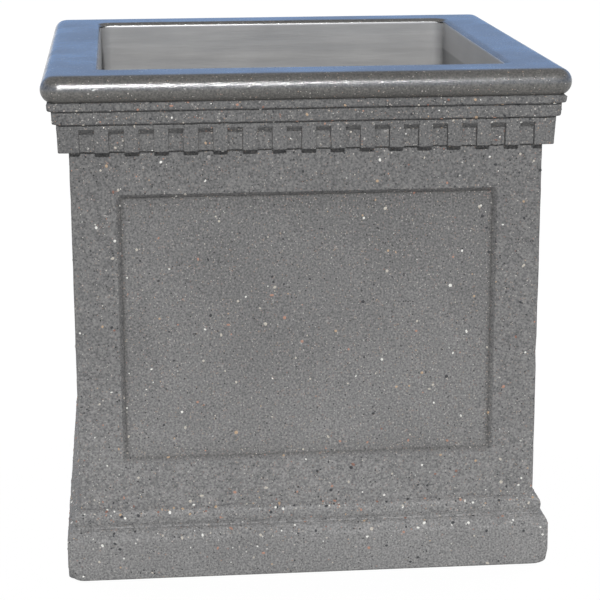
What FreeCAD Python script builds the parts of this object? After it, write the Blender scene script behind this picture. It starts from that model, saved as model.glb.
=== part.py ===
import FreeCAD
import Part
import math
import os

os.makedirs("parts", exist_ok=True)

# Overall size of the casting, origin at the middle of the underside, front towards minus Y.
height = 914.0
body_half = 412.0

# Plinth and the half-buried torus that stands on it behind a narrow ledge.
plinth_height = 94.0
plinth_out = 25.5
plinth_round = 18.0
plinth_foot_chamfer = 4.0
torus_radius = 20.0
torus_inset = 6.5
torus_ledge = 3.5

# Cornice, from the dentil course up to the rim.
rim_out = 45.0
rim_round = 23.6
rim_slab = 47.5
rim_corner = 30.0
upper_fascia_out = 34.5
upper_fascia_height = 12.5
lower_fascia_out = 27.0
lower_fascia_height = 24.0
dentil_out = 19.5
dentil_course = 50.0

# Dentils: square blocks left between open-bottomed gaps.
dentil_gap = 25.4
dentil_block = 25.4
dentil_gaps_per_side = 16
dentil_gap_floor_out = 7.5
dentil_strip = 9.0
dentil_gap_slope = 10.5

# Sunk panel on each side, an even margin wide, with sloped edges.
panel_margin = 78.0
panel_gap_below_dentils = 77.0
panel_gap_above_torus = 82.5
panel_depth = 9.0
panel_slope = 8.0

# Planting hollow, tapering towards its floor.
wall_at_rim = 52.0
hollow_taper = 12.0
hollow_corner = 22.0
hollow_lip_round = 10.0
floor_at_drain = 90.0
floor_fall = 8.0
floor_flat = 50.0
floor_cove = 19.0
floor_border = 6.0

# Steel cage in the walls and floor, drawn eight-sided with its bends in short straight steps.
bar_radius = 4.75
bar_sides = 8
bar_gap = 0.6
bend_steps = 3
hoop_cover = 23.0
hoop_bend = 34.0
hoop_count = 4
hoop_lowest = 66.0
hoop_top_cover = 72.0
stirrup_cover = 34.0
stirrup_bend = 38.0
stirrup_spread = 170.0
stirrup_top_cover = 62.0

# Drain sleeve through the floor, with a square water-stop collar and a wider seat at its top.
sleeve_radius = 30.15
sleeve_wall = 3.9
seat_wall = 2.2
collar_half = 44.0
collar_thickness = 6.0
collar_level = 46.0

# Lift-out strainer standing in the seat of the sleeve.
strainer_clearance = 0.75
strainer_flange_radius = 39.0
strainer_flange = 3.0
strainer_wall = 2.5
strainer_spigot = 16.0
strainer_crown_height = 18.0
strainer_crown = 12.0
strainer_sides = 10
strainer_slot_width = 4.5
strainer_slot_sill = 2.0

# Threaded ferrules on square foot plates, set in the floor for lifting.
ferrule_spread = 250.0
ferrule_radius = 11.0
ferrule_bore = 7.0
ferrule_length = 50.0
ferrule_thread = 40.0
ferrule_foot_half = 17.0
ferrule_foot = 6.0

# How far a cutting form stands past the face that it opens, and how level a level edge is.
overshoot = 1.0
level_tolerance = 0.01


def vec(x, y, z):
    return FreeCAD.Vector(x, y, z)


def turned(shape, angle):
    copy = shape.copy()
    copy.rotate(vec(0, 0, 0), vec(0, 0, 1), angle)
    return copy


def moved(shape, x, y, z):
    copy = shape.copy()
    copy.translate(vec(x, y, z))
    return copy


def polygon_face(points):
    return Part.Face(Part.makePolygon(points + points[:1]))


def ring_solid(rings, closed=False):
    """Flat-sided solid through a row of rings that have the same number of corners."""
    pairs = list(zip(rings, rings[1:]))
    faces = []
    if closed:
        pairs.append((rings[-1], rings[0]))
    else:
        faces += [polygon_face(rings[0][::-1]), polygon_face(rings[-1])]
    for near, far in pairs:
        for i in range(len(near)):
            faces.append(polygon_face([near[i - 1], near[i], far[i], far[i - 1]]))
    solid = Part.Solid(Part.Shell(faces))
    if solid.Volume < 0:
        solid.reverse()
    return solid


def mirrored_outline(half_edges, reach):
    """Close half a section with its mirror image and run it along the width."""
    half = Part.Wire(half_edges)
    other = half.mirror(vec(0, 0, 0), vec(1, 0, 0))
    foot = half.Vertexes[0].Point
    head = half.Vertexes[-1].Point
    base = Part.makeLine(vec(-foot.x, 0, foot.z), foot)
    cap = Part.makeLine(head, vec(-head.x, 0, head.z))
    edges = Part.__sortEdges__([base, cap] + half.Edges + other.Edges)
    face = Part.Face(Part.Wire(edges))
    return moved(face, 0, -reach, 0).extrude(vec(0, 2 * reach, 0))


def square_moulding(half_edges, reach):
    """Mitre a section round the four sides of a square."""
    along = mirrored_outline(half_edges, reach)
    return along.common(turned(along, 90))


def square_corners(half, level):
    return [vec(-half, -half, level), vec(half, -half, level), vec(half, half, level), vec(-half, half, level)]


def square_plate(half, level, thickness):
    return ring_solid([square_corners(half, level), square_corners(half, level + thickness)])


def crown_corners(radius, level):
    angles = [2 * math.pi * (i + 0.5) / strainer_sides for i in range(strainer_sides)]
    return [vec(radius * math.cos(a), radius * math.sin(a), level) for a in angles]


def panel_corners(half_width, bottom, top, y):
    return [
        vec(-half_width, y, bottom),
        vec(half_width, y, bottom),
        vec(half_width, y, top),
        vec(-half_width, y, top),
    ]


def rising_edges(shape):
    """Edges that climb the full height of a shape."""
    return [e for e in shape.Edges if e.BoundBox.ZLength > shape.BoundBox.ZLength / 2]


def edges_at(shape, level, reach):
    """Level edges at a height, no further than the reach from the middle."""
    found = []
    for edge in shape.Edges:
        box = edge.BoundBox
        level_edge = max(abs(box.ZMin - level), abs(box.ZMax - level)) < level_tolerance
        if level_edge and max(box.XMax, -box.XMin, box.YMax, -box.YMin) < reach:
            found.append(edge)
    return found


def bar_line(corners, bend, closed):
    """Centre line of a bar through its square corners, each turned in short straight steps."""
    points = []
    for index, corner in enumerate(corners):
        if not closed and index in (0, len(corners) - 1):
            points.append(corner)
            continue
        back = (corners[index - 1] - corner).normalize()
        ahead = (corners[(index + 1) % len(corners)] - corner).normalize()
        centre = corner + (back + ahead) * bend
        for step in range(bend_steps + 1):
            turn = math.radians(90.0 * step / bend_steps)
            points.append(centre - ahead * (bend * math.cos(turn)) - back * (bend * math.sin(turn)))
    return points


def bar_solid(points, upright, closed):
    """Eight-sided bar along a flat centre line, mitred at every turn."""
    corner_radius = bar_radius / math.cos(math.pi / bar_sides)
    rings = []
    for index, point in enumerate(points):
        before = points[index - 1] if closed or index > 0 else None
        after = points[(index + 1) % len(points)] if closed or index < len(points) - 1 else None
        arriving = (point - before).normalize() if before else (after - point).normalize()
        leaving = (after - point).normalize() if after else arriving
        heading = (arriving + leaving).normalize()
        side = upright.cross(heading) * (1 / heading.dot(leaving))
        angles = [2 * math.pi * (i + 0.5) / bar_sides for i in range(bar_sides)]
        ring = [
            point + (side * math.cos(angle) + upright * math.sin(angle)) * corner_radius for angle in angles
        ]
        rings.append(ring)
    return ring_solid(rings, closed)


# Levels and half widths that follow from the sizes above.
rim_half = body_half + rim_out
plinth_half = body_half + plinth_out
rim_bottom = height - rim_slab
upper_fascia_bottom = rim_bottom - upper_fascia_height
lower_fascia_bottom = upper_fascia_bottom - lower_fascia_height
dentil_bottom = lower_fascia_bottom - dentil_course
torus_centre_half = body_half - torus_inset
torus_foot_half = plinth_half - plinth_round - torus_ledge
torus_drop = math.sqrt(torus_radius ** 2 - (torus_foot_half - torus_centre_half) ** 2)
torus_rise = math.sqrt(torus_radius ** 2 - torus_inset ** 2)
torus_level = plinth_height + torus_drop
torus_top = torus_level + torus_rise
rim_hollow_half = body_half - wall_at_rim
floor_hollow_half = rim_hollow_half - hollow_taper
floor_edge = floor_at_drain + floor_fall

# Outer form up to the underside of the rim: plinth, torus, wall, dentil course and two fascias.
plinth_shoulder = vec(plinth_half, 0, plinth_height - plinth_round)
plinth_crest = vec(plinth_half - plinth_round, 0, plinth_height)
plinth_bow = vec(
    plinth_half - plinth_round * (1 - math.sqrt(0.5)),
    0,
    plinth_height - plinth_round * (1 - math.sqrt(0.5)),
)
torus_foot = vec(torus_foot_half, 0, plinth_height)
torus_crown = vec(torus_centre_half + torus_radius, 0, torus_level)
wall_foot = vec(body_half, 0, torus_top)
foot_inner = vec(plinth_half - plinth_foot_chamfer, 0, 0)
foot_outer = vec(plinth_half, 0, plinth_foot_chamfer)
steps = [
    wall_foot,
    vec(body_half, 0, dentil_bottom),
    vec(body_half + dentil_out, 0, dentil_bottom),
    vec(body_half + dentil_out, 0, lower_fascia_bottom),
    vec(body_half + lower_fascia_out, 0, lower_fascia_bottom),
    vec(body_half + lower_fascia_out, 0, upper_fascia_bottom),
    vec(body_half + upper_fascia_out, 0, upper_fascia_bottom),
    vec(body_half + upper_fascia_out, 0, rim_bottom + rim_round),
]
outline = [
    Part.makeLine(foot_inner, foot_outer),
    Part.makeLine(foot_outer, plinth_shoulder),
    Part.Arc(plinth_shoulder, plinth_bow, plinth_crest).toShape(),
    Part.makeLine(plinth_crest, torus_foot),
    Part.Arc(torus_foot, torus_crown, wall_foot).toShape(),
]
outline += [Part.makeLine(a, b) for a, b in zip(steps, steps[1:])]
casting = square_moulding(outline, rim_half)

# Gaps between the dentils, open at the bottom, each with a sloped top.
gap_mouth = body_half + dentil_out
gap_floor = body_half + dentil_gap_floor_out
gap_head = lower_fascia_bottom - dentil_strip
gap_section = [
    vec(0, -gap_mouth - overshoot, dentil_bottom - overshoot),
    vec(0, -gap_mouth - overshoot, gap_head),
    vec(0, -gap_mouth, gap_head),
    vec(0, -gap_floor, gap_head - dentil_gap_slope),
    vec(0, -gap_floor, dentil_bottom - overshoot),
]
gap_solid = polygon_face(gap_section).extrude(vec(dentil_gap, 0, 0))
dentil_pitch = dentil_gap + dentil_block
first_gap = -dentil_pitch * (dentil_gaps_per_side - 1) / 2 - dentil_gap / 2
gap_row = [moved(gap_solid, first_gap + i * dentil_pitch, 0, 0) for i in range(dentil_gaps_per_side)]
gap_cuts = [turned(gap, 90 * side) for side in range(4) for gap in gap_row]
casting = casting.cut(Part.makeCompound(gap_cuts))

# Sunk panels with sloped edges.
panel_half = body_half - panel_margin
panel_top = dentil_bottom - panel_gap_below_dentils
panel_bottom = torus_top + panel_gap_above_torus
run_out = overshoot * panel_slope / panel_depth
panel_mouth = panel_corners(
    panel_half + run_out, panel_bottom - run_out, panel_top + run_out, -body_half - overshoot
)
panel_back = panel_corners(
    panel_half - panel_slope,
    panel_bottom + panel_slope,
    panel_top - panel_slope,
    -body_half + panel_depth,
)
panel_cut = ring_solid([panel_mouth, panel_back])
casting = casting.cut(Part.makeCompound([turned(panel_cut, 90 * side) for side in range(4)]))

# Rim: a rounded-square slab with half-round edges.
slab = Part.makeBox(2 * rim_half, 2 * rim_half, rim_slab, vec(-rim_half, -rim_half, rim_bottom))
slab = slab.makeFillet(rim_corner, rising_edges(slab))
slab_rims = [e for e in slab.Edges if e not in rising_edges(slab)]
slab = slab.makeFillet(rim_round, slab_rims)
casting = casting.fuse(slab)

# Planting hollow with tapering walls, coved floor edge and a floor falling to the drain.
hollow = ring_solid([square_corners(floor_hollow_half, floor_edge), square_corners(rim_hollow_half, height)])
hollow = hollow.makeFillet(hollow_corner, rising_edges(hollow))
hollow = hollow.makeFillet(floor_cove, edges_at(hollow, floor_edge, rim_half))
floor_slope_half = floor_hollow_half - floor_cove - floor_border
fall = ring_solid([square_corners(floor_flat, floor_at_drain), square_corners(floor_slope_half, floor_edge)])
casting = casting.cut(hollow)
casting = casting.cut(fall)
lip_reach = rim_hollow_half + overshoot
casting = casting.makeFillet(hollow_lip_round, edges_at(casting, height, lip_reach))

# Closed hoops running round the walls, from the base to the rim.
hoop_half = body_half - hoop_cover - bar_radius
hoop_highest = height - hoop_top_cover
hoop_step = (hoop_highest - hoop_lowest) / (hoop_count - 1)
hoops = []
for index in range(hoop_count):
    corners = square_corners(hoop_half, hoop_lowest + index * hoop_step)
    hoops.append(bar_solid(bar_line(corners, hoop_bend, True), vec(0, 0, 1), True))

# Stirrups pass down one wall, across the floor and up the opposite wall.
stirrup_half = hoop_half - 2 * bar_radius - bar_gap
stirrup_top = height - stirrup_top_cover
stirrups = []
for layer in range(2):
    low = stirrup_cover + bar_radius + layer * (2 * bar_radius + bar_gap)
    for side in (-1, 1):
        corners = [
            vec(-stirrup_half, side * stirrup_spread, stirrup_top),
            vec(-stirrup_half, side * stirrup_spread, low),
            vec(stirrup_half, side * stirrup_spread, low),
            vec(stirrup_half, side * stirrup_spread, stirrup_top),
        ]
        stirrup = bar_solid(bar_line(corners, stirrup_bend, False), vec(0, 1, 0), False)
        stirrups.append(turned(stirrup, 90 * layer))

# Drain sleeve with a water-stop collar and a wider seat for the strainer.
sleeve_bore = sleeve_radius - sleeve_wall
seat_bore = sleeve_radius - seat_wall
seat_depth = strainer_spigot + strainer_clearance
sleeve_outer = Part.makeCylinder(sleeve_radius, floor_at_drain)
collar = square_plate(collar_half, collar_level, collar_thickness)
sleeve_form = sleeve_outer.fuse(collar).removeSplitter()
drain_sleeve = sleeve_form.cut(Part.makeCylinder(sleeve_bore, floor_at_drain))
drain_sleeve = drain_sleeve.cut(Part.makeCylinder(seat_bore, seat_depth, vec(0, 0, floor_at_drain - seat_depth)))

# Strainer: a round flange, a short spigot in the seat and a flat-sided crown, slotted on every side.
spigot_radius = seat_bore - strainer_clearance
inner_radius = spigot_radius - strainer_wall
spigot_end = floor_at_drain - strainer_spigot
crown_foot = floor_at_drain + strainer_flange
crown_top = crown_foot + strainer_crown_height
strainer_form = Part.makeCylinder(strainer_flange_radius, strainer_flange, vec(0, 0, floor_at_drain))
strainer_form = strainer_form.fuse(Part.makeCylinder(spigot_radius, strainer_spigot, vec(0, 0, spigot_end)))
outer_crown = ring_solid([crown_corners(spigot_radius, crown_foot), crown_corners(strainer_crown, crown_top)])
strainer_form = strainer_form.fuse(outer_crown)
inner_crown = ring_solid(
    [
        crown_corners(inner_radius, crown_foot),
        crown_corners(strainer_crown - strainer_wall, crown_top - strainer_wall),
    ]
)
strainer_throat = Part.makeCylinder(inner_radius, crown_foot - spigot_end, vec(0, 0, spigot_end))
drain_strainer = strainer_form.cut(Part.makeCompound([strainer_throat, inner_crown]))
slot_start = strainer_crown + strainer_slot_sill
slot = Part.makeBox(
    spigot_radius - slot_start,
    strainer_slot_width,
    strainer_crown_height,
    vec(slot_start, -strainer_slot_width / 2, crown_foot + strainer_slot_sill),
)
slots = [turned(slot, 360.0 * i / strainer_sides) for i in range(strainer_sides)]
drain_strainer = drain_strainer.cut(Part.makeCompound(slots)).removeSplitter()

# Threaded lifting ferrules on their foot plates, flush with the sloping floor.
fall_rate = floor_fall / (floor_slope_half - floor_flat)
ferrule_head = floor_at_drain + fall_rate * (ferrule_spread - ferrule_radius - floor_flat)
ferrule_form = Part.makeCylinder(ferrule_radius, ferrule_length)
ferrule_form = ferrule_form.fuse(square_plate(ferrule_foot_half, 0, ferrule_foot)).removeSplitter()
ferrule_hole = Part.makeCylinder(ferrule_bore, ferrule_thread, vec(0, 0, ferrule_length - ferrule_thread))
ferrule = ferrule_form.cut(ferrule_hole)
ferrule_places = [
    (x * ferrule_spread, y * ferrule_spread, ferrule_head - ferrule_length)
    for x in (-1, 1)
    for y in (-1, 1)
]
ferrule_forms = [moved(ferrule_form, *place) for place in ferrule_places]
ferrules = [moved(ferrule, *place) for place in ferrule_places]
ferrule_wells = [
    Part.makeCylinder(ferrule_radius, floor_fall, vec(x, y, z + ferrule_length)) for x, y, z in ferrule_places
]

# The concrete is cast round everything that is buried in it.
buried = hoops + stirrups + [sleeve_outer, collar] + ferrule_forms + ferrule_wells
casting = casting.cut(Part.makeCompound(buried))
planter_shell = casting.removeSplitter()

nodes = {
    "planter_shell": planter_shell,
    "drain_sleeve": drain_sleeve,
    "drain_strainer": drain_strainer,
    "lifting_ferrules": Part.makeCompound(ferrules),
}
for index, hoop in enumerate(hoops):
    nodes["wall_hoop_%d" % (index + 1)] = hoop
for index, stirrup in enumerate(stirrups):
    nodes["floor_stirrup_%d" % (index + 1)] = stirrup
for name, shape in nodes.items():
    shape.exportStep("parts/%s.step" % name)
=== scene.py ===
import math
import random

import bmesh
import bpy
from mathutils import Matrix, Vector, kdtree, noise


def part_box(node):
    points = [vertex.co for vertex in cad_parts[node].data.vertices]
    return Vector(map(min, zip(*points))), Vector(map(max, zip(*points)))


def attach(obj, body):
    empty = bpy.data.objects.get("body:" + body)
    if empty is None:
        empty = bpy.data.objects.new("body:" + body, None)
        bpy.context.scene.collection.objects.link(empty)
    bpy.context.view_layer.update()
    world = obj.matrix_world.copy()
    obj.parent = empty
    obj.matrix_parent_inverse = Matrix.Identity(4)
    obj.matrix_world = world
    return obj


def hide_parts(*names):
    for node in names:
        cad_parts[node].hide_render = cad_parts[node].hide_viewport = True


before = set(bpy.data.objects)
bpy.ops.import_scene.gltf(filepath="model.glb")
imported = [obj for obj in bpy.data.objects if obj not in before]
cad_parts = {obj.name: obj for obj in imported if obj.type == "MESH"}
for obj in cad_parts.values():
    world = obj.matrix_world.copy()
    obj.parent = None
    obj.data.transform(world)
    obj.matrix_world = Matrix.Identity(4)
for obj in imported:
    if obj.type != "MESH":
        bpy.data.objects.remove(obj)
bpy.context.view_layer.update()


# Reinforcing cage. Plain round mild-steel bar, cut and bent cold into closed hoops and U-shaped
# stirrups, tied together and hung in the mould before the concrete goes in. It keeps its mill scale
# and a first bloom of rust, and the concrete covers all of it.

def new_finish(name, roughness, metallic=0.0):
    """A material with its tree, its shader and the object coordinates that its pattern reads."""
    finish = bpy.data.materials.new(name)
    finish.use_nodes = True
    tree = finish.node_tree
    shader = tree.nodes["Principled BSDF"]
    shader.inputs["Roughness"].default_value = roughness
    shader.inputs["Metallic"].default_value = metallic
    place = tree.nodes.new("ShaderNodeTexCoord").outputs["Object"]
    return finish, tree, shader, place


def add_node(tree, kind, links=None, **settings):
    """One node, with its inputs linked or set by name."""
    node = tree.nodes.new(kind)
    for name, value in settings.items():
        setattr(node, name, value)
    for key, value in (links or {}).items():
        if isinstance(value, bpy.types.NodeSocket):
            tree.links.new(value, node.inputs[key])
        else:
            node.inputs[key].default_value = value
    return node


def grain(tree, place, per_metre, detail, stretch=(1, 1, 1)):
    """Noise with that many features to the metre."""
    spread = add_node(tree, "ShaderNodeMapping", {"Vector": place, "Scale": stretch})
    links = {"Vector": spread.outputs["Vector"], "Scale": per_metre, "Detail": detail}
    return add_node(tree, "ShaderNodeTexNoise", links).outputs["Fac"]


def shades(tree, factor, stops, interpolation="LINEAR"):
    """Colours laid out along a factor."""
    ramp = add_node(tree, "ShaderNodeValToRGB", {"Fac": factor})
    ramp.color_ramp.interpolation = interpolation
    bands = ramp.color_ramp.elements
    while len(bands) < len(stops):
        bands.new(1.0)
    for band, (position, colour) in zip(bands, stops):
        band.position = position
        band.color = (*colour, 1.0)
    return ramp.outputs["Color"]


def raise_grain(tree, shader, height, depth):
    """Bump of a real depth in metres."""
    bump = add_node(tree, "ShaderNodeBump", {"Height": height, "Distance": depth, "Strength": 1.0})
    tree.links.new(bump.outputs["Normal"], shader.inputs["Normal"])


def dress(node, finish):
    """Gives a node of the frame its one finish."""
    node.data.materials.clear()
    node.data.materials.append(finish)


bar_steel, tree, shader, place = new_finish("mill_scaled_bar", roughness=0.62, metallic=0.55)
scale_bloom = grain(tree, place, per_metre=70, detail=5.0)
bar_shades = [(0.3, (0.06, 0.055, 0.055)), (0.55, (0.13, 0.09, 0.07)), (0.75, (0.28, 0.12, 0.05))]
tree.links.new(shades(tree, scale_bloom, bar_shades), shader.inputs["Base Color"])
raise_grain(tree, shader, grain(tree, place, per_metre=900, detail=2.0), depth=0.0003)
for node_name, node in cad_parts.items():
    if node_name.startswith(("wall_hoop", "floor_stirrup")):
        dress(node, bar_steel)


# Lifting ferrules. Four zinc-plated steel sockets on square foot plates, screwed to the mould's floor
# so that their mouths come out flush in the planter's floor. Eye bolts go in them when it is lifted.
ferrule_zinc, tree, shader, place = new_finish("zinc_plated_ferrule", roughness=0.38, metallic=1.0)
zinc_cloud = grain(tree, place, per_metre=260, detail=4.0)
zinc_shades = [(0.3, (0.42, 0.43, 0.44)), (0.6, (0.58, 0.59, 0.58)), (0.8, (0.5, 0.47, 0.4))]
tree.links.new(shades(tree, zinc_cloud, zinc_shades), shader.inputs["Base Color"])
raise_grain(tree, shader, grain(tree, place, per_metre=1500, detail=2.0), depth=0.0001)
dress(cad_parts["lifting_ferrules"], ferrule_zinc)


# Drain sleeve. A stub of grey plastic pipe with a square water-stop collar, set in the mould's floor
# and cast in. Its top is opened out as a seat for the strainer.
pipe_grey, tree, shader, place = new_finish("extruded_pipe", roughness=0.42)
pipe_cloud = grain(tree, place, per_metre=40, detail=4.0, stretch=(1, 1, 0.15))
pipe_shades = [(0.35, (0.33, 0.335, 0.33)), (0.65, (0.43, 0.43, 0.42))]
tree.links.new(shades(tree, pipe_cloud, pipe_shades), shader.inputs["Base Color"])
draw_lines = grain(tree, place, per_metre=600, detail=2.0, stretch=(1, 1, 0.1))
raise_grain(tree, shader, draw_lines, depth=0.0002)
dress(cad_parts["drain_sleeve"], pipe_grey)


# The casting. One piece of dark exposed-aggregate concrete: plinth, torus, plain walls with a sunk
# panel on each side, dentil course, two fascias and a half-round rim. It is cast upside down in a
# mould, the outside is washed to bare the stone, and the rim and the top of the inside are sealed.
shell_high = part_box("planter_shell")[1]
rim_half = shell_high.x
height = shell_high.z
rim_out = 0.045
body_half = rim_half - rim_out
arris = 0.0032
soft_easing = 0.0015
tight_easing = 0.0008

plinth_out = 0.0255
plinth_half = body_half + plinth_out
plinth_height = 0.094
plinth_round = 0.018
foot_easing = 0.005
foot_margin = 0.012
underside_ring = 0.2
torus_radius = 0.020
torus_inset = 0.0065
torus_ledge = 0.0035
torus_centre_half = body_half - torus_inset
torus_foot_half = plinth_half - plinth_round - torus_ledge
torus_drop = math.sqrt(torus_radius ** 2 - (torus_foot_half - torus_centre_half) ** 2)
torus_rise = math.sqrt(torus_radius ** 2 - (body_half - torus_centre_half) ** 2)
torus_level = plinth_height + torus_drop
torus_top = torus_level + torus_rise
torus_from = math.radians(-38)
torus_to = math.asin(torus_rise / torus_radius)
torus_steps = 12

rim_slab = 0.0475
rim_round = 0.0236
rim_corner = 0.030
rim_bottom = height - rim_slab
upper_fascia_out = 0.0345
upper_fascia_height = 0.0125
upper_fascia_half = body_half + upper_fascia_out
upper_fascia_bottom = rim_bottom - upper_fascia_height
lower_fascia_out = 0.027
lower_fascia_height = 0.024
lower_fascia_half = body_half + lower_fascia_out
lower_fascia_bottom = upper_fascia_bottom - lower_fascia_height
groove_depth = 0.004
groove_easing = 0.001
groove_half = upper_fascia_half - groove_depth
groove_reach = groove_half - rim_half + rim_round
groove_level = rim_bottom + rim_round - math.sqrt(rim_round ** 2 - groove_reach ** 2)

dentil_out = 0.0195
dentil_course = 0.050
dentil_half = body_half + dentil_out
dentil_bottom = lower_fascia_bottom - dentil_course
gap_floor_out = 0.0075
gap_floor_half = body_half + gap_floor_out
gap_band = 0.009
gap_head = lower_fascia_bottom - gap_band
gap_slope = 0.0105

panel_margin = 0.078
panel_gap_below_dentils = 0.077
panel_gap_above_torus = 0.0825
panel_half = body_half - panel_margin
panel_top = dentil_bottom - panel_gap_below_dentils
panel_bottom = torus_top + panel_gap_above_torus
panel_depth = 0.009
panel_slope = 0.008
# How far the painted shade reaches along the crease at the foot of each sunk panel's slope; the wall gets
# extra rows there to carry it.
crease_shade_reach = 0.004

wall_at_rim = 0.052
hollow_half = body_half - wall_at_rim
hollow_corner = 0.022
hollow_lip = 0.010
hollow_taper = 0.012
floor_hollow_half = hollow_half - hollow_taper
floor_drain = 0.090
floor_fall = 0.008
floor_edge = floor_drain + floor_fall
floor_cove = 0.019
floor_easing = 0.004
floor_margin = 0.006
floor_slope_half = floor_hollow_half - floor_cove - floor_margin
floor_flat_half = 0.050
drain_mouth_half = 0.02
lip_taper = 0.0002
lip_run = 0.001
sealed_lip_share = 0.75

fine_step = 0.011
column_step = 0.0075
wall_step = 0.03
coarse_step = 0.07


def eased(corners):
    """Points along a section whose corners, each a half width, a level and a radius, are rounded."""
    large_radius = 0.008
    large_steps = 8
    small_steps = 3
    points = []
    for index, (out, level, radius) in enumerate(corners):
        here = Vector((out, level))
        if index in (0, len(corners) - 1) or radius == 0:
            points.append(here)
            continue
        back = (Vector(corners[index - 1][:2]) - here).normalized()
        ahead = (Vector(corners[index + 1][:2]) - here).normalized()
        half_angle = back.angle(ahead) / 2
        centre = here + (back + ahead).normalized() * (radius / math.sin(half_angle))
        start = here + back * (radius / math.tan(half_angle)) - centre
        turn = math.pi - 2 * half_angle
        if back.x * ahead.y - back.y * ahead.x > 0:
            turn = -turn
        steps = large_steps if radius > large_radius else small_steps
        for step in range(steps + 1):
            points.append(centre + Matrix.Rotation(turn * step / steps, 2) @ start)
    return points


def stepped(points, longest):
    """The same points with the long runs between them divided."""
    dense = [points[0]]
    for point in points[1:]:
        run = point - dense[-1]
        start = dense[-1]
        count = max(1, math.ceil(run.length / longest))
        dense += [start + run * (i / count) for i in range(1, count + 1)]
    return dense


torus_start = torus_radius * Vector((math.cos(torus_from), math.sin(torus_from)))
torus_start += Vector((torus_centre_half, torus_level))
plinth = [
    (drain_mouth_half, 0, 0),
    (underside_ring, 0, 0),
    (plinth_half - foot_margin, 0, 0),
    (plinth_half, 0, foot_easing),
    (plinth_half, plinth_height, plinth_round),
    (torus_start.x - soft_easing, plinth_height, soft_easing),
    (*torus_start, 0),
]
lower_section = stepped(eased(plinth), wall_step)
torus_section = []
for step in range(torus_steps + 1):
    angle = torus_from + (torus_to - torus_from) * step / torus_steps
    outward = Vector((math.cos(angle), math.sin(angle)))
    torus_section.append(Vector((torus_centre_half, torus_level)) + outward * torus_radius)
panel_levels = [
    panel_bottom,
    panel_bottom + panel_slope / 2,
    panel_bottom + panel_slope,
    panel_bottom + panel_slope + crease_shade_reach,
    panel_top - panel_slope - crease_shade_reach,
    panel_top - panel_slope,
    panel_top - panel_slope / 2,
    panel_top,
]
wall_section = [Vector((body_half, level)) for level in panel_levels]
cornice = [
    (body_half, panel_top + fine_step, 0),
    (body_half, dentil_bottom, tight_easing),
    (gap_floor_half, dentil_bottom, soft_easing),
    (gap_floor_half, gap_head - gap_slope, soft_easing),
    (dentil_half, gap_head, soft_easing),
    (dentil_half, lower_fascia_bottom, tight_easing),
    (lower_fascia_half, lower_fascia_bottom, arris),
    (lower_fascia_half, upper_fascia_bottom, tight_easing),
    (upper_fascia_half, upper_fascia_bottom, arris),
    (upper_fascia_half, rim_bottom, groove_easing),
    (groove_half, groove_level, 0),
]
cornice_section = stepped(eased(cornice)[:-1], fine_step)
wall_section = stepped([torus_section[-1], *wall_section, cornice_section[0]], wall_step)
outer_section = lower_section + torus_section[1:-1] + wall_section + cornice_section[1:]
lip_foot = (hollow_half - lip_taper, height - hollow_lip - lip_run, 0)
rim = [
    (rim_half - 2 * rim_round, rim_bottom, 0),
    (rim_half, rim_bottom, rim_round),
    (rim_half, height, rim_round),
    (hollow_half, height, hollow_lip),
    lip_foot,
]
rim_section = [Vector((groove_half, groove_level))]
rim_section += [point for point in stepped(eased(rim), fine_step) if point.y > groove_level]
inside = [
    lip_foot,
    (floor_hollow_half, floor_edge, floor_cove),
    (floor_slope_half, floor_edge, floor_easing),
    (floor_flat_half, floor_drain, floor_easing),
    (drain_mouth_half, floor_drain, 0),
]
inner_section = stepped(eased(inside), coarse_step)
seal_edge = height - sealed_lip_share * hollow_lip
turned_in = [p for p in rim_section if p.x < hollow_half + hollow_lip and p.y < seal_edge]
rim_section = rim_section[: -len(turned_in)]
inner_section = turned_in + inner_section[1:]


def plan_corner(out, level, on_rim):
    """Radius of the casting's corner, seen from above, where it is that wide and that high."""
    if not on_rim:
        return hollow_corner if out <= hollow_half and level > floor_edge else min(arris, out)
    flat_edge = rim_half - rim_round
    if out >= flat_edge:
        return rim_corner - (rim_half - out)
    lip_edge = hollow_half + hollow_lip
    if out > lip_edge:
        reach = (flat_edge - out) / (flat_edge - lip_edge)
        return rim_corner - rim_round + (hollow_corner + hollow_lip - rim_corner + rim_round) * reach
    return hollow_corner + out - hollow_half


def column_places():
    """Places along one side, closer at the panel's sloped edges, as shares of the straight run."""
    straight = body_half - arris
    stops = [-straight, -panel_half, -panel_half + panel_slope / 2, -panel_half + panel_slope]
    stops += [-stop for stop in reversed(stops)]
    dense = stepped([Vector((stop, 0)) for stop in stops], column_step)
    return [point.x / straight for point in dense]


def plan_loop(out, corner, columns, corner_steps):
    """One turn round the casting: four straight runs joined by rounded corners."""
    straight = out - corner
    side = [Vector((share * straight, -out)) for share in columns]
    for step in range(1, corner_steps):
        angle = math.radians(-90 + 90 * step / corner_steps)
        side.append(Vector((straight + corner * math.cos(angle), -straight + corner * math.sin(angle))))
    loop = []
    for quarter in range(4):
        turn = Matrix.Rotation(math.radians(90 * quarter), 2)
        loop += [turn @ point for point in side]
    return loop


def panel_edge(place):
    """How far inside the panel's outline a point of the plain wall is."""
    across = min(abs(place.x), abs(place.y))
    return min(panel_half - across, place.z - panel_bottom, panel_top - place.z)


cornice_stoniness = 2.6
wall_stoniness = 0.9
torus_stoniness = 9.0
shoulder_stoniness = 5.0
cornice_margin = 0.004
band_offset = 0.012
band_width = 0.007


def bared_share(level):
    """How thick the stones lie: most on the cornice, the torus and the plinth's shoulder."""
    if level > dentil_bottom - cornice_margin:
        return cornice_stoniness
    on_torus = math.exp(-((level - torus_level - band_offset) / band_width) ** 2)
    on_shoulder = math.exp(-((level - plinth_height + band_offset) / band_width) ** 2)
    return wall_stoniness + torus_stoniness * on_torus + shoulder_stoniness * on_shoulder


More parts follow.
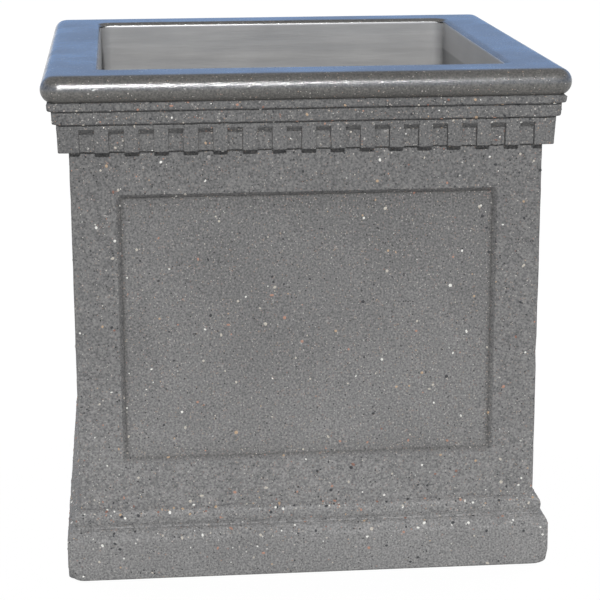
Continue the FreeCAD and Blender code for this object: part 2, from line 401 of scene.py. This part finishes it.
columns = column_places()
corner_steps = 6
washed, sealed, trowelled = 0, 1, 2
same_width = 1e-6
underside_reach = 0.001
weld_distance = 0.00002
casting_mesh = bmesh.new()
wear = casting_mesh.verts.layers.float.new("wear")
stoniness = casting_mesh.verts.layers.float.new("stoniness")
# Painted shade: a share on each vertex that darkens the crease at the foot of each sunk panel's slope.
panel_crease_shade = casting_mesh.verts.layers.float.new("panel_crease_shade")
rows = []
sections = ((outer_section, washed), (rim_section, sealed), (inner_section, trowelled))
for section, finish_index in sections:
    for out, level in section:
        corner = plan_corner(out, level, finish_index == sealed)
        loop = []
        for flat in plan_loop(out, corner, columns, corner_steps):
            place = Vector((flat.x, flat.y, level))
            crease_shade_share = 0.0
            on_wall = finish_index == washed and abs(out - body_half) < same_width
            if on_wall and panel_bottom < level < panel_top:
                inward = Vector((0, 1, 0)) if abs(flat.y) > abs(flat.x) else Vector((1, 0, 0))
                edge = panel_edge(place)
                sink = panel_depth * min(max(edge / panel_slope, 0.0), 1.0)
                place -= inward * math.copysign(sink, flat.dot(inward.xy))
                # Painted shade, strongest where the panel's slope meets its sunk face.
                crease_shade_share = max(0.0, 1.0 - abs(edge - panel_slope) / (1.5 * crease_shade_reach))
            vertex = casting_mesh.verts.new(place)
            vertex[panel_crease_shade] = crease_shade_share
            vertex[wear] = 1.0 if finish_index == washed and level > underside_reach else 0.0
            vertex[stoniness] = bared_share(level)
            loop.append(vertex)
        rows.append((loop, finish_index))
for (low_loop, low_finish), (high_loop, high_finish) in zip(rows, rows[1:]):
    in_groove = (low_finish, high_finish) == (washed, sealed)
    for i in range(len(low_loop)):
        corners = (low_loop[i - 1], low_loop[i], high_loop[i], high_loop[i - 1])
        casting_mesh.faces.new(corners).material_index = washed if in_groove else high_finish
casting_mesh.faces.new(rows[0][0][::-1]).material_index = trowelled
casting_mesh.faces.new(rows[-1][0]).material_index = trowelled
bmesh.ops.remove_doubles(casting_mesh, verts=casting_mesh.verts, dist=weld_distance)
casting_mesh.normal_update()

# Washing and handling leave the faces uneven, and some arrises are nicked.
wave_depth = 0.0005
waves_per_metre = 21
ripple_depth = 0.0006
ripples_per_metre = 83
ripple_start = Vector((7, 3, 1))
shifts = {}
for vertex in casting_mesh.verts:
    share = vertex[wear]
    if not share:
        continue
    wave = noise.noise(vertex.co * waves_per_metre) * wave_depth
    ripple = noise.noise(vertex.co * ripples_per_metre + ripple_start) * ripple_depth
    shifts[vertex] = vertex.normal * (wave + ripple) * share
for vertex, shift in shifts.items():
    vertex.co += shift

nicks = random.Random(41)
nick_count = 150
nick_radii = (0.006, 0.013)
nick_depths = (0.0008, 0.0026)
nick_lowest = 0.0005
flat_face = 0.93
arris_spots = [
    vertex
    for vertex in casting_mesh.verts
    if vertex[wear] and max(abs(vertex.normal.x), abs(vertex.normal.y)) < flat_face
]
vertices = list(casting_mesh.verts)
finder = kdtree.KDTree(len(vertices))
for index, vertex in enumerate(vertices):
    finder.insert(vertex.co, index)
finder.balance()
for spot in nicks.sample(arris_spots, nick_count):
    radius = nicks.uniform(*nick_radii)
    depth = nicks.uniform(*nick_depths)
    for _, index, distance in finder.find_range(spot.co, radius):
        vertex = vertices[index]
        if vertex[wear] and vertex.co.z > nick_lowest:
            fall = 1 - distance / radius
            vertex.co -= vertex.normal * depth * fall

# Corners take the knocks, the plinth's foot most of all. Each has its half width, its level, how far
# the wear reaches and how deep it is.
worn_corners = [
    (plinth_half, 0.0, 0.028, 0.011),
    (plinth_half - 0.005, plinth_height, 0.025, 0.002),
    (lower_fascia_half, lower_fascia_bottom, 0.013, 0.0045),
    (upper_fascia_half, upper_fascia_bottom, 0.013, 0.0045),
]
least_loss, most_loss = 0.7, 1.2
for out, level, reach, depth in worn_corners:
    for x, y in ((-1, -1), (1, -1), (1, 1), (-1, 1)):
        loss = depth * nicks.uniform(least_loss, most_loss)
        inward = Vector((-x, -y, 1)).normalized()
        for _, index, distance in finder.find_range(Vector((x * out, y * out, level)), reach):
            vertices[index].co += inward * loss * (1 - distance / reach) ** 2


def add_object(name, data):
    """A new object in the scene."""
    made = bpy.data.objects.new(name, data)
    bpy.context.scene.collection.objects.link(made)
    return made


def object_from(shape, name):
    """A new object with the shape's mesh. The shape is used up."""
    data = bpy.data.meshes.new(name)
    shape.to_mesh(data)
    shape.free()
    return add_object(name, data)


casting = object_from(casting_mesh, "casting")


def levels(tree, factor, low, high, out_low=0.0, out_high=1.0):
    """A factor stretched from one range to another, and held inside it."""
    links = {"Value": factor, "From Min": low, "From Max": high, "To Min": out_low, "To Max": out_high}
    return add_node(tree, "ShaderNodeMapRange", links).outputs["Result"]


def mixed(tree, factor, first, second, how="MIX"):
    """Two colours mixed by a factor. The node's colour sockets come after those for other kinds."""
    node = add_node(tree, "ShaderNodeMix", data_type="RGBA", blend_type=how)
    for socket, value in ((node.inputs[0], factor), (node.inputs[6], first), (node.inputs[7], second)):
        if isinstance(value, bpy.types.NodeSocket):
            tree.links.new(value, socket)
        elif isinstance(value, tuple):
            socket.default_value = (*value, 1.0)
        else:
            socket.default_value = value
    return node.outputs[2]


def reckoned(tree, operation, first, second):
    """Two numbers worked out together."""
    return add_node(tree, "ShaderNodeMath", {0: first, 1: second}, operation=operation).outputs[0]


def toned(tree, colour, tone):
    """A colour made lighter or darker by a number."""
    grey = add_node(tree, "ShaderNodeCombineColor", {"Red": tone, "Green": tone, "Blue": tone})
    return mixed(tree, 1.0, colour, grey.outputs["Color"], "MULTIPLY")


def stone_finish(name, paste, roughness, grain_depth, speck_share):
    """Washed concrete: salt-and-pepper paste with fine chips, pits painted in as dark specks of shade, and
    the colour lighter towards the bottom and darker towards the top.
    """
    finish, tree, shader, place = new_finish(name, roughness)
    sand = grain(tree, place, per_metre=290, detail=3.0)
    sand_shades = [(0.28, (0.5, 0.5, 0.51)), (0.5, (1.0, 1.0, 1.0)), (0.72, (1.55, 1.53, 1.5))]
    colour = mixed(tree, 1.0, paste, shades(tree, sand, sand_shades), "MULTIPLY")
    level = add_node(tree, "ShaderNodeSeparateXYZ", {"Vector": place}).outputs["Z"]
    # Lighter towards the bottom, darker towards the top.
    bottom_to_top_tone = levels(tree, level, low=0.0, high=height, out_low=1.28, out_high=0.78)
    # Painted light: lighter bands on the plinth's rounded shoulder, along the ledge and crease where the
    # torus meets the plinth, and on the torus's upper face, broken up by noise.
    light_band_levels = [
        (0.0, 0.0),
        (plinth_height - 0.022, 0.0),
        (plinth_height - 0.017, 0.5),
        (plinth_height - 0.012, 0.0),
        (plinth_height + 0.001, 0.55),
        (plinth_height + 0.006, 0.55),
        (torus_level - 0.002, 0.0),
        (torus_level + 0.007, 0.0),
        (torus_level + 0.011, 0.5),
        (torus_level + 0.015, 0.0),
    ]
    light_band_reach = 0.15
    light_band_stops = [(stop / light_band_reach, (share, share, share)) for stop, share in light_band_levels]
    painted_light_band = shades(tree, levels(tree, level, low=0.0, high=light_band_reach), light_band_stops)
    painted_light_band = mixed(tree, painted_light_band, (1.0, 1.0, 1.0), (1.6, 1.6, 1.6))
    light_band_breakup = levels(tree, grain(tree, place, per_metre=60, detail=4.0), low=0.35, high=0.6)
    colour = mixed(tree, light_band_breakup, colour, mixed(tree, 1.0, colour, painted_light_band, "MULTIPLY"))
    # Painted shade in the crease at the foot of each sunk panel's slope, read from the casting's vertices.
    crease_shade_mask = add_node(tree, "ShaderNodeAttribute", attribute_name="panel_crease_shade").outputs["Fac"]
    crease_shade_tone = (0.66, 0.65, 0.64)
    colour = mixed(tree, crease_shade_mask, colour, mixed(tree, 1.0, colour, crease_shade_tone, "MULTIPLY"))
    cloud = grain(tree, place, per_metre=5.5, detail=5.0)
    cloud = levels(tree, cloud, low=0.3, high=0.7, out_low=0.92, out_high=1.08)
    colour = toned(tree, colour, reckoned(tree, "MULTIPLY", bottom_to_top_tone, cloud))
    # The darkest specks are painted shade standing for pits; the rest are chips of stone showing in the
    # paste.
    speck_and_pit_shade_tones = [
        (0.0, (0.02, 0.02, 0.022)),
        (0.34, (0.06, 0.06, 0.06)),
        (0.42, (0.34, 0.33, 0.31)),
        (0.6, (0.48, 0.46, 0.43)),
        (0.72, (0.36, 0.27, 0.2)),
        (0.84, (0.27, 0.17, 0.14)),
        (1.0, (0.55, 0.54, 0.51)),
    ]
    speck_edge = 0.15
    for per_metre, share, size in ((420, 0.10, 0.30), (240, 0.05, 0.28)):
        cell = add_node(tree, "ShaderNodeTexVoronoi", {"Vector": place, "Scale": per_metre})
        parts = add_node(tree, "ShaderNodeSeparateColor", {"Color": cell.outputs["Color"]})
        chosen = reckoned(tree, "GREATER_THAN", parts.outputs["Red"], 1 - share * speck_share)
        core = levels(tree, cell.outputs["Distance"], size, size + speck_edge, out_low=1.0, out_high=0.0)
        mask = reckoned(tree, "MULTIPLY", chosen, core)
        colour = mixed(tree, mask, colour, shades(tree, parts.outputs["Green"], speck_and_pit_shade_tones))
    tree.links.new(colour, shader.inputs["Base Color"])
    raise_grain(tree, shader, sand, grain_depth)
    return finish, tree, shader, place


washed_concrete = stone_finish(
    "washed_concrete", paste=(0.166, 0.165, 0.164), roughness=0.85, grain_depth=0.0012, speck_share=1.0
)[0]
sealed_rim, tree, shader, place = stone_finish(
    "sealed_rim", paste=(0.118, 0.114, 0.106), roughness=0.5, grain_depth=0.00025, speck_share=0.7
)
sealer_ior = 1.6
film_from, film_to = height - 0.034, height - 0.02
shader.inputs["Coat Roughness"].default_value = 0.12
shader.inputs["Coat IOR"].default_value = sealer_ior
film = grain(tree, place, per_metre=9, detail=4.0)
film = levels(tree, film, low=0.35, high=0.65, out_low=0.6, out_high=0.9)
rim_level = add_node(tree, "ShaderNodeSeparateXYZ", {"Vector": place}).outputs["Z"]
brushed = levels(tree, rim_level, film_from, film_to, out_low=0.2, out_high=1.0)
tree.links.new(reckoned(tree, "MULTIPLY", film, brushed), shader.inputs["Coat Weight"])
brush_lines = grain(tree, place, per_metre=900, detail=3.0, stretch=(0.12, 0.12, 1))
peel = add_node(tree, "ShaderNodeBump", {"Height": brush_lines, "Distance": 0.00035})
tree.links.new(peel.outputs["Normal"], shader.inputs["Coat Normal"])

trowelled_concrete, tree, shader, place = new_finish("trowelled_concrete", roughness=0.5)
lift_marks = grain(tree, place, per_metre=14, detail=4.0, stretch=(0.35, 0.35, 3.5))
lift_shades = [(0.35, (0.25, 0.25, 0.25)), (0.65, (0.34, 0.335, 0.33))]
blotches = grain(tree, place, per_metre=7, detail=5.0)
blotch_shades = [(0.3, (0.23, 0.23, 0.23)), (0.7, (0.36, 0.355, 0.35))]
inner_tone = mixed(tree, 0.5, shades(tree, lift_marks, lift_shades), shades(tree, blotches, blotch_shades))
tree.links.new(inner_tone, shader.inputs["Base Color"])
raise_grain(tree, shader, lift_marks, depth=0.0015)
inner_level = add_node(tree, "ShaderNodeSeparateXYZ", {"Vector": place}).outputs["Z"]
brushed_in = levels(tree, inner_level, low=height - 0.062, high=height - 0.058)
tree.links.new(brushed_in, shader.inputs["Coat Weight"])
shader.inputs["Coat Roughness"].default_value = 0.3
shader.inputs["Coat IOR"].default_value = sealer_ior
for finish in (washed_concrete, sealed_rim, trowelled_concrete):
    casting.data.materials.append(finish)

# The drain and the ferrules pass through the floor. Each opening has its place, radius and two levels.
ferrule_foot_half = 0.017
ferrule_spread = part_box("lifting_ferrules")[1].x - ferrule_foot_half
drain_cut = 0.03015
ferrule_cut = 0.011
below_floor, in_floor, above_floor = -0.01, 0.05, 0.2
openings = [(0, 0, drain_cut, below_floor, above_floor)]
for x in (-1, 1):
    for y in (-1, 1):
        openings.append((x * ferrule_spread, y * ferrule_spread, ferrule_cut, in_floor, above_floor))
cutter_mesh = bmesh.new()
for x, y, radius, low, high in openings:
    bmesh.ops.create_cone(
        cutter_mesh,
        cap_ends=True,
        segments=48,
        radius1=radius,
        radius2=radius,
        depth=high - low,
        matrix=Matrix.Translation((x, y, (low + high) / 2)),
    )
cutter = object_from(cutter_mesh, "floor_openings")
cut = casting.modifiers.new("floor_openings", "BOOLEAN")
cut.object = cutter
cut.operation = "DIFFERENCE"
cut.solver = "EXACT"


def keep_result(piece):
    """Works the piece's modifiers into its mesh."""
    depsgraph = bpy.context.evaluated_depsgraph_get()
    made = bpy.data.meshes.new_from_object(piece.evaluated_get(depsgraph))
    piece.modifiers.clear()
    piece.data = made


keep_result(casting)
bpy.data.objects.remove(cutter)
casting.data.shade_smooth()
casting.data.set_sharp_from_angle(angle=math.radians(38))
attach(casting, "planter")
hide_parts("planter_shell")


# Dentils. Fifteen blocks on each side and one at each corner, standing proud of the course under the
# lower fascia. They are part of the same pour, from pockets in the mould, and their arrises are
# eased by the draft of the pockets and by washing.
dentil_width = 0.0254
dentil_pitch = 2 * dentil_width
dentils_per_side = 15
dentil_easing = 0.0022
dentil_face = dentil_half + 0.0002
dentil_root = gap_floor_half - 0.008
dentil_head = lower_fascia_bottom + 0.004
corner_dentil_edge = dentil_width * (dentils_per_side + 0.5)


def block_pattern(name, low, high, draft):
    """One upright block between two corners, eased, and leaning in towards its foot by the draft."""
    block = bmesh.new()
    bmesh.ops.create_cube(block, size=1.0)
    span = high - low
    bmesh.ops.scale(block, vec=span, verts=block.verts)
    bmesh.ops.translate(block, vec=(low + high) / 2, verts=block.verts)
    bmesh.ops.bevel(
        block, geom=list(block.edges), offset=dentil_easing, segments=2, profile=0.5, affect="EDGES"
    )
    tall = [e for e in block.edges if abs(e.verts[0].co.z - e.verts[1].co.z) > span.z / 2]
    bmesh.ops.subdivide_edges(block, edges=tall, cuts=4, use_grid_fill=True)
    for vertex in block.verts:
        fall = (high.z - vertex.co.z) / span.z
        if vertex.co.y < (low.y + high.y) / 2:
            vertex.co.y += draft.y * fall
        if vertex.co.x > (low.x + high.x) / 2:
            vertex.co.x -= draft.x * fall
    return object_from(block, name)


def nodes_tree(name, inputs):
    """A geometry tree with named inputs, and what its input node gives."""
    tree = bpy.data.node_groups.new(name, "GeometryNodeTree")
    tree.interface.new_socket(name="Geometry", in_out="INPUT", socket_type="NodeSocketGeometry")
    for socket_name, kind in inputs:
        tree.interface.new_socket(name=socket_name, in_out="INPUT", socket_type=kind)
    tree.interface.new_socket(name="Geometry", in_out="OUTPUT", socket_type="NodeSocketGeometry")
    return tree, tree.nodes.new("NodeGroupInput").outputs


def run_tree(piece, tree, values):
    """Runs the tree on the piece and keeps the result as its plain mesh."""
    modifier = piece.modifiers.new(tree.name, "NODES")
    modifier.node_group = tree
    for item in tree.interface.items_tree:
        if item.in_out == "INPUT" and item.name in values:
            modifier[item.identifier] = values[item.name]
    keep_result(piece)


dentil_block = block_pattern(
    "dentil_block",
    low=Vector((-dentil_width / 2, -dentil_face, dentil_bottom)),
    high=Vector((dentil_width / 2, -dentil_root, dentil_head)),
    draft=Vector((0, 0.001)),
)
corner_block = block_pattern(
    "corner_block",
    low=Vector((corner_dentil_edge, -dentil_face, dentil_bottom)),
    high=Vector((dentil_face, -corner_dentil_edge, dentil_head)),
    draft=Vector((0.0035, 0.001)),
)
tree, given = nodes_tree(
    "dentil_course",
    [
        ("Block", "NodeSocketObject"),
        ("Corner Block", "NodeSocketObject"),
        ("Blocks per Side", "NodeSocketInt"),
        ("Pitch", "NodeSocketFloat"),
        ("Width Change", "NodeSocketFloat"),
        ("Unevenness", "NodeSocketFloat"),
        ("Seed", "NodeSocketInt"),
        ("Finish", "NodeSocketMaterial"),
    ],
)
spaces = reckoned(tree, "SUBTRACT", given["Blocks per Side"], 1.0)
start = reckoned(tree, "MULTIPLY", reckoned(tree, "MULTIPLY", spaces, -0.5), given["Pitch"])
start_place = add_node(tree, "ShaderNodeCombineXYZ", {"X": start})
step_along = add_node(tree, "ShaderNodeCombineXYZ", {"X": given["Pitch"]})
row = add_node(
    tree,
    "GeometryNodeMeshLine",
    {
        "Count": given["Blocks per Side"],
        "Start Location": start_place.outputs[0],
        "Offset": step_along.outputs[0],
    },
    mode="OFFSET",
)
block = add_node(tree, "GeometryNodeObjectInfo", {"Object": given["Block"]})
corner = add_node(tree, "GeometryNodeObjectInfo", {"Object": given["Corner Block"]})
narrow = reckoned(tree, "SUBTRACT", 1.0, given["Width Change"])
wide = reckoned(tree, "ADD", 1.0, given["Width Change"])
width = add_node(tree, "FunctionNodeRandomValue", {2: narrow, 3: wide, "Seed": given["Seed"]})
block_size = add_node(tree, "ShaderNodeCombineXYZ", {"X": width.outputs[1], "Y": 1.0, "Z": 1.0})
one_side = add_node(
    tree,
    "GeometryNodeInstanceOnPoints",
    {"Points": row.outputs[0], "Instance": block.outputs["Geometry"], "Scale": block_size.outputs[0]},
)
side_and_corner = add_node(tree, "GeometryNodeJoinGeometry")
tree.links.new(one_side.outputs[0], side_and_corner.inputs[0])
tree.links.new(corner.outputs["Geometry"], side_and_corner.inputs[0])
quarter = add_node(tree, "GeometryNodeGeometryToInstance", {0: side_and_corner.outputs[0]})
four_sides = add_node(tree, "GeometryNodePoints", {"Count": 4})
side_number = add_node(tree, "GeometryNodeInputIndex").outputs[0]
side_turn = add_node(
    tree, "ShaderNodeCombineXYZ", {"Z": reckoned(tree, "MULTIPLY", side_number, math.pi / 2)}
)
all_sides = add_node(
    tree,
    "GeometryNodeInstanceOnPoints",
    {"Points": four_sides.outputs[0], "Instance": quarter.outputs[0], "Rotation": side_turn.outputs[0]},
)
whole = add_node(tree, "GeometryNodeRealizeInstances", {0: all_sides.outputs[0]})
rough = add_node(tree, "ShaderNodeTexNoise", {"Scale": 95.0, "Detail": 2.0})
centred = add_node(
    tree, "ShaderNodeVectorMath", {0: rough.outputs["Color"], 1: (0.5, 0.5, 0.5)}, operation="SUBTRACT"
)
shift = add_node(
    tree, "ShaderNodeVectorMath", {0: centred.outputs[0], "Scale": given["Unevenness"]}, operation="SCALE"
)
uneven = add_node(tree, "GeometryNodeSetPosition", {0: whole.outputs[0], "Offset": shift.outputs[0]})
finished = add_node(tree, "GeometryNodeSetMaterial", {0: uneven.outputs[0], "Material": given["Finish"]})
add_node(tree, "NodeGroupOutput", {0: finished.outputs[0]})
dentils = add_object("dentil_blocks", bpy.data.meshes.new("dentil_blocks"))
run_tree(
    dentils,
    tree,
    {
        "Block": dentil_block,
        "Corner Block": corner_block,
        "Blocks per Side": dentils_per_side,
        "Pitch": dentil_pitch,
        "Width Change": 0.03,
        "Unevenness": 0.0022,
        "Seed": 5,
        "Finish": washed_concrete,
    },
)
bpy.data.objects.remove(dentil_block)
bpy.data.objects.remove(corner_block)
dentils.data.shade_smooth()
dentils.data.set_sharp_from_angle(angle=math.radians(40))
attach(dentils, "planter")
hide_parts("planter_shell")


# Bared aggregate. Crushed white, tan and red stone in the concrete's outer skin, left standing just
# proud of the paste when the fresh face was washed. The stones are bedded in the casting.
# The first, near-black tone is painted shade: those little stones stand for pits.
stone_and_pit_shade_tones = [
    (0.0, (0.03, 0.03, 0.032)),
    (0.22, (0.28, 0.27, 0.26)),
    (0.36, (0.52, 0.48, 0.42)),
    (0.52, (0.80, 0.79, 0.75)),
    (0.70, (0.46, 0.33, 0.22)),
    (0.82, (0.40, 0.22, 0.16)),
    (0.93, (0.24, 0.12, 0.09)),
]
chip_stone, tree, shader, place = new_finish("bared_stone", roughness=0.55)
stone_tone = add_node(tree, "ShaderNodeAttribute", attribute_name="stone_tone").outputs["Fac"]
stone_colour = shades(tree, stone_tone, stone_and_pit_shade_tones, "CONSTANT")
veins = grain(tree, place, per_metre=700, detail=3.0)
veins = levels(tree, veins, low=0.3, high=0.7, out_low=0.75, out_high=1.2)
tree.links.new(toned(tree, stone_colour, veins), shader.inputs["Base Color"])
raise_grain(tree, shader, grain(tree, place, per_metre=1400, detail=2.0), depth=0.0004)

lowest_stone = 0.004
for piece in (casting, dentils):
    faces = piece.data.polygons
    bared = [face.material_index == washed and face.center.z > lowest_stone for face in faces]
    face_mark = piece.data.attributes.new("bared", "BOOLEAN", "FACE")
    face_mark.data.foreach_set("value", bared)
dentil_share = dentils.data.attributes.new("stoniness", "FLOAT", "POINT")
dentil_share.data.foreach_set("value", [cornice_stoniness] * len(dentils.data.vertices))
tree, given = nodes_tree(
    "aggregate",
    [
        ("Dentils", "NodeSocketObject"),
        ("Stones per Square Metre", "NodeSocketFloat"),
        ("Smallest", "NodeSocketFloat"),
        ("Largest", "NodeSocketFloat"),
        ("Flatness", "NodeSocketFloat"),
        ("Seed", "NodeSocketInt"),
        ("Finish", "NodeSocketMaterial"),
    ],
)
dentil_faces = add_node(tree, "GeometryNodeObjectInfo", {"Object": given["Dentils"]})
skin = add_node(tree, "GeometryNodeJoinGeometry")
tree.links.new(given["Geometry"], skin.inputs[0])
tree.links.new(dentil_faces.outputs["Geometry"], skin.inputs[0])
is_bared = add_node(tree, "GeometryNodeInputNamedAttribute", {"Name": "bared"}, data_type="BOOLEAN")
share = add_node(tree, "GeometryNodeInputNamedAttribute", {"Name": "stoniness"}, data_type="FLOAT")
spots = add_node(
    tree,
    "GeometryNodeDistributePointsOnFaces",
    {
        "Mesh": skin.outputs[0],
        "Selection": is_bared.outputs[0],
        "Density": reckoned(tree, "MULTIPLY", share.outputs[0], given["Stones per Square Metre"]),
        "Seed": given["Seed"],
    },
)
chance = add_node(tree, "FunctionNodeRandomValue", {2: 0.0, 3: 1.0, "Seed": given["Seed"]})
favour_small = reckoned(tree, "POWER", chance.outputs[1], 2.2)
reach = add_node(
    tree,
    "ShaderNodeMapRange",
    {"Value": favour_small, "To Min": given["Smallest"], "To Max": given["Largest"]},
)
shape = add_node(
    tree,
    "FunctionNodeRandomValue",
    {0: (0.7, 0.6, 0.8), 1: (1.3, 1.1, 1.2), "Seed": 3},
    data_type="FLOAT_VECTOR",
)
flat = add_node(tree, "ShaderNodeCombineXYZ", {"X": 1.0, "Y": 1.0, "Z": given["Flatness"]})
flat_shape = add_node(
    tree, "ShaderNodeVectorMath", {0: shape.outputs[0], 1: flat.outputs[0]}, operation="MULTIPLY"
)
stone_size = add_node(
    tree, "ShaderNodeVectorMath", {0: flat_shape.outputs[0], "Scale": reach.outputs[0]}, operation="SCALE"
)
spin = add_node(tree, "FunctionNodeRandomValue", {2: 0.0, 3: 2 * math.pi, "Seed": 8})
spin_turn = add_node(tree, "ShaderNodeCombineXYZ", {"Z": spin.outputs[1]})
stone_turn = add_node(
    tree,
    "FunctionNodeRotateRotation",
    {"Rotation": spots.outputs["Rotation"], "Rotate By": spin_turn.outputs[0]},
    rotation_space="LOCAL",
)
pebble = add_node(tree, "GeometryNodeMeshIcoSphere", {"Radius": 1.0, "Subdivisions": 1})
stones = add_node(
    tree,
    "GeometryNodeInstanceOnPoints",
    {
        "Points": spots.outputs["Points"],
        "Instance": pebble.outputs["Mesh"],
        "Rotation": stone_turn.outputs[0],
        "Scale": stone_size.outputs[0],
    },
)
any_tone = add_node(tree, "FunctionNodeRandomValue", {2: 0.0, 3: 1.0, "Seed": 21})
marked = add_node(
    tree,
    "GeometryNodeStoreNamedAttribute",
    {0: stones.outputs[0], "Name": "stone_tone", "Value": any_tone.outputs[1]},
    data_type="FLOAT",
    domain="INSTANCE",
)
whole = add_node(tree, "GeometryNodeRealizeInstances", {0: marked.outputs[0]})
finished = add_node(tree, "GeometryNodeSetMaterial", {0: whole.outputs[0], "Material": given["Finish"]})
add_node(tree, "NodeGroupOutput", {0: finished.outputs[0]})
aggregate = add_object("bared_aggregate", casting.data.copy())
run_tree(
    aggregate,
    tree,
    {
        "Dentils": dentils,
        "Stones per Square Metre": 1300.0,
        "Smallest": 0.0008,
        "Largest": 0.0036,
        "Flatness": 0.35,
        "Seed": 17,
        "Finish": chip_stone,
    },
)
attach(aggregate, "planter")
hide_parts("planter_shell")


# Drain strainer. A loose moulded cap of black plastic with a slotted crown, a flat flange and a
# spigot that drops into the sleeve's seat. It keeps soil out of the drain and lifts out by hand.
cap_black, tree, shader, place = new_finish("moulded_cap", roughness=0.46)
cap_cloud = grain(tree, place, per_metre=120, detail=3.0)
cap_shades = [(0.35, (0.018, 0.018, 0.019)), (0.65, (0.035, 0.035, 0.036))]
tree.links.new(shades(tree, cap_cloud, cap_shades), shader.inputs["Base Color"])
raise_grain(tree, shader, grain(tree, place, per_metre=1800, detail=2.0), depth=0.00012)
dress(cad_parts["drain_strainer"], cap_black)


# Camera, where the photograph was taken from.
focal_pixels = 1924.12
frame_pixels = 600
sensor_width = 36.0
camera_place = Vector((-0.31582, -3.68887, 1.35960))
camera_yaw = math.radians(5.24)
camera_pitch = math.radians(14.52)
camera_roll = math.radians(0.22)
camera_data = bpy.data.cameras.new("camera")
camera_data.sensor_width = sensor_width
camera_data.lens = focal_pixels / frame_pixels * sensor_width
camera = add_object("camera", camera_data)
turn = Matrix.Rotation(-camera_yaw, 4, "Z") @ Matrix.Rotation(math.pi / 2 - camera_pitch, 4, "X")
camera.matrix_world = Matrix.Translation(camera_place) @ turn @ Matrix.Rotation(-camera_roll, 4, "Z")
bpy.context.scene.camera = camera

# Pale studio floor, white to the camera apart from the planter's shadow and the square it stands on.
floor_reach = 40.0
covered_reach = 0.4
floor_tone = (0.6, 0.6, 0.6, 1)
floor_whiteness = 0.85
white = (1, 1, 1, 1)
stops = [-floor_reach, -covered_reach, covered_reach, floor_reach]
per_row = len(stops)
corners = [(x, y, 0) for y in stops for x in stops]
squares = [
    (first, first + 1, first + per_row + 1, first + per_row)
    for first in range(len(corners) - per_row)
    if first % per_row < per_row - 1
]
covered_square = len(squares) // 2
floor_data = bpy.data.meshes.new("studio_floor")
floor_data.from_pydata(corners, [], squares)
floor = add_object("studio_floor", floor_data)
floor_finish = bpy.data.materials.new("studio_floor")
floor_finish.use_nodes = True
tree = floor_finish.node_tree
tree.nodes.clear()
path = add_node(tree, "ShaderNodeLightPath").outputs
matt = add_node(tree, "ShaderNodeBsdfDiffuse", {"Color": floor_tone})
glow = add_node(tree, "ShaderNodeEmission", {"Color": white, "Strength": 1.1})
seen = reckoned(tree, "MAXIMUM", path["Is Camera Ray"], path["Is Glossy Ray"])
seen = reckoned(tree, "MAXIMUM", seen, path["Is Transmission Ray"])
white_share = reckoned(tree, "MULTIPLY", seen, floor_whiteness)
blend = add_node(tree, "ShaderNodeMixShader", {0: white_share, 1: matt.outputs[0], 2: glow.outputs[0]})
add_node(tree, "ShaderNodeOutputMaterial", {"Surface": blend.outputs[0]})
covered_finish, tree, shader, place = new_finish("covered_floor", roughness=0.9)
shader.inputs["Base Color"].default_value = floor_tone
floor_data.materials.append(floor_finish)
floor_data.materials.append(covered_finish)
floor_data.polygons[covered_square].material_index = 1


# Light: one lamp high in front, a little to the left, two wide lamps low behind, and a soft surround.
def add_sun(name, energy, spread, towards):
    """A far lamp that shines from a direction, as wide as its spread in degrees."""
    lamp_data = bpy.data.lights.new(name, "SUN")
    lamp_data.energy = energy
    lamp_data.angle = math.radians(spread)
    lamp = add_object(name, lamp_data)
    lamp.rotation_euler = Vector(towards).to_track_quat("Z", "Y").to_euler()
    return lamp


add_sun("key", energy=2.98, spread=2.5, towards=(-0.03, -0.866, 0.5))
for side in (-1, 1):
    fill = add_sun("fill", energy=1.7, spread=50, towards=(0.78 * side, 0.60, 0.26))
    fill.visible_glossy = False
world = bpy.data.worlds.new("surround")
world.use_nodes = True
bpy.context.scene.world = world
tree = world.node_tree
tree.nodes.clear()
path = add_node(tree, "ShaderNodeLightPath").outputs
soft = add_node(tree, "ShaderNodeBackground", {"Color": (0.95, 0.97, 1.0, 1), "Strength": 0.1})
towards = add_node(tree, "ShaderNodeTexCoord").outputs["Generated"]
rise = add_node(tree, "ShaderNodeSeparateXYZ", {"Vector": towards}).outputs["Z"]
sky_shades = [(0.3, (0.30, 0.47, 0.80)), (0.62, (0.28, 0.28, 0.29))]
sky = add_node(tree, "ShaderNodeBackground", {"Color": shades(tree, rise, sky_shades), "Strength": 1.0})
plain = add_node(tree, "ShaderNodeBackground", {"Color": white, "Strength": 1.0})
by_ray = add_node(
    tree, "ShaderNodeMixShader", {0: path["Is Glossy Ray"], 1: soft.outputs[0], 2: sky.outputs[0]}
)
seen = reckoned(tree, "MAXIMUM", path["Is Camera Ray"], path["Is Transmission Ray"])
backdrop = add_node(tree, "ShaderNodeMixShader", {0: seen, 1: by_ray.outputs[0], 2: plain.outputs[0]})
add_node(tree, "ShaderNodeOutputWorld", {"Surface": backdrop.outputs[0]})
bpy.context.scene.view_settings.view_transform = "Standard"
